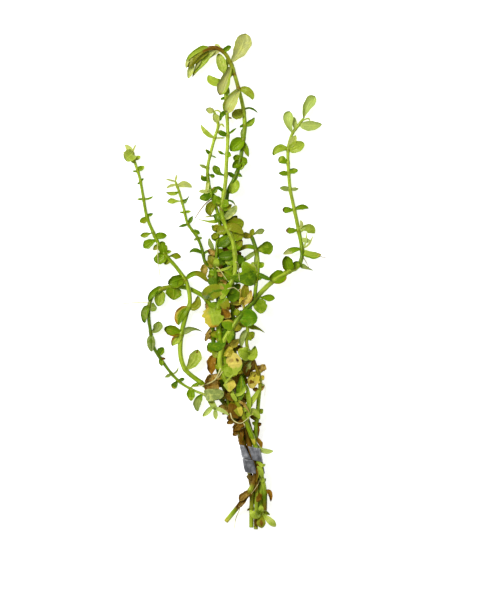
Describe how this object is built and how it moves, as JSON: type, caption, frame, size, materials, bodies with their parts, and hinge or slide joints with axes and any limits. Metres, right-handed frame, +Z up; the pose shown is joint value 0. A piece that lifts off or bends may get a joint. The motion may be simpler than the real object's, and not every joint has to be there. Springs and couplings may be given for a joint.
{
  "type": "aquarium stem plant bunch",
  "caption": "Bunch of rotala, a leafy aquarium stem plant, tied near the cut ends with soft lead strips and lying on its side, with an arching, a drooping and a forked shoot",
  "frame": {"origin": "on the flat underside of the upper lead strip, in its middle, on the plane that the bunch lies on", "axes": "+Z up, away from the surface the bunch lies on; +Y from the cut ends to the shoot tips; +X to the right, seen from above with the shoot tips away from the viewer"},
  "size_m": [0.0995, 0.2473, 0.0121],
  "materials": {
    "bright_green": "wet, slightly glossy plant tissue",
    "leaf_green": "wet, slightly glossy plant tissue",
    "dark_green": "wet, slightly glossy plant tissue",
    "olive_green": "wet, slightly glossy plant tissue",
    "old_brown": "wet, slightly glossy plant tissue",
    "soft_lead": "dull, dented, dark grey soft metal strip"
  },
  "bodies": {
    "root": {"tall_arching_shoot": "olive_green", "upright_shoot": "bright_green", "left_inner_shoot": "leaf_green", "right_shoot": "bright_green", "fork_branch": "leaf_green", "far_left_shoot": "leaf_green", "short_left_shoot": "dark_green", "drooping_shoot": "dark_green", "short_right_shoot": "olive_green", "bare_stem": "old_brown", "upper_lead_strip": "soft_lead", "lower_lead_strip": "soft_lead"}
  },
  "joints": []
}
